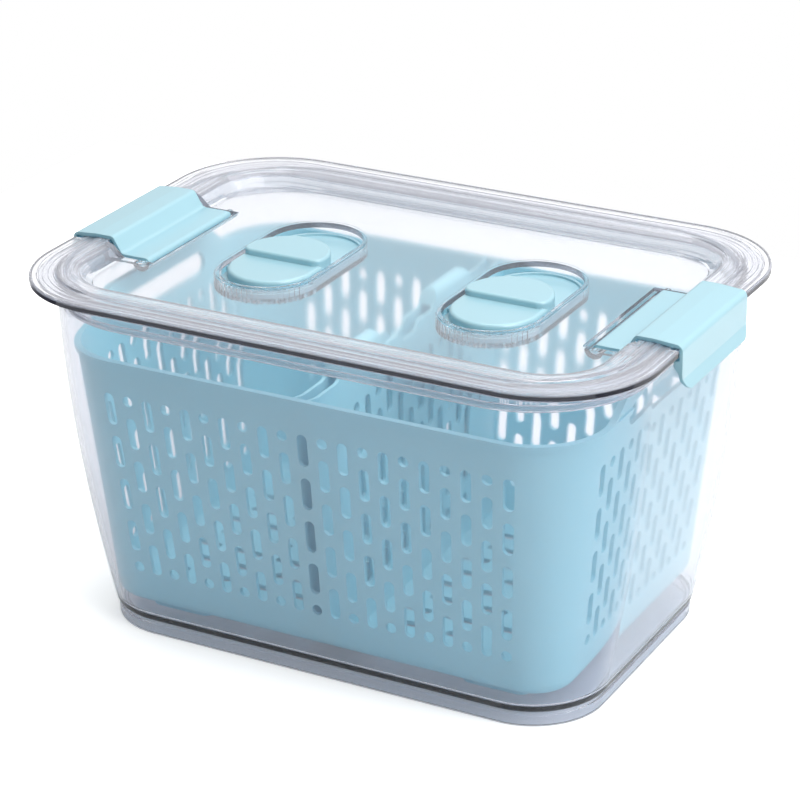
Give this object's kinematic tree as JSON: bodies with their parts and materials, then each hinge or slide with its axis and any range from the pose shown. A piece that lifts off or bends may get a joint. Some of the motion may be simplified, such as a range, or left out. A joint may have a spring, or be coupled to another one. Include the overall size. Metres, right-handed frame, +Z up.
{
  "type": "produce keeper",
  "caption": "Clear storage bin with a clip-on lid, sliding vents in the lid and a slotted lift-out basket with a divider.",
  "frame": {"origin": "middle of the footprint, on the surface the keeper stands on", "axes": "+Z up, +X along the long side towards the right clip, +Y away from the front long side, the way both vents slide open"},
  "size_m": [0.306, 0.213, 0.1728],
  "materials": {
    "clear_plastic": "polished, see-through",
    "blue_plastic": "satin moulded",
    "silicone": "soft, matt"
  },
  "bodies": {
    "base": {"bin": "clear_plastic", "basket": "blue_plastic"},
    "cover": {"lid": "clear_plastic", "lid_seal": "silicone", "vent_tray_left": "blue_plastic", "vent_tray_right": "blue_plastic"},
    "left_latch": {"clip_left": "blue_plastic"},
    "right_latch": {"clip_right": "blue_plastic"},
    "left_vent": {"vent_slider_left": "blue_plastic", "vent_pad_left": "silicone"},
    "right_vent": {"vent_slider_right": "blue_plastic", "vent_pad_right": "silicone"}
  },
  "joints": [
    {"name": "lid_lift", "type": "slide", "parent": "base", "child": "cover", "axis": [0, 0, 1], "range_m": [0, 0.15]},
    {"name": "left_clip_hinge", "type": "hinge", "parent": "cover", "child": "left_latch", "pos_m": [-0.1124, 0, 0.163], "axis": [0, 1, 0], "range_deg": [0, 100]},
    {"name": "right_clip_hinge", "type": "hinge", "parent": "cover", "child": "right_latch", "pos_m": [0.1124, 0, 0.163], "axis": [0, -1, 0], "range_deg": [0, 100]},
    {"name": "left_vent_slide", "type": "slide", "parent": "cover", "child": "left_vent", "axis": [0, 1, 0], "range_m": [0, 0.026]},
    {"name": "right_vent_slide", "type": "slide", "parent": "cover", "child": "right_vent", "axis": [0, 1, 0], "range_m": [0, 0.026]}
  ]
}
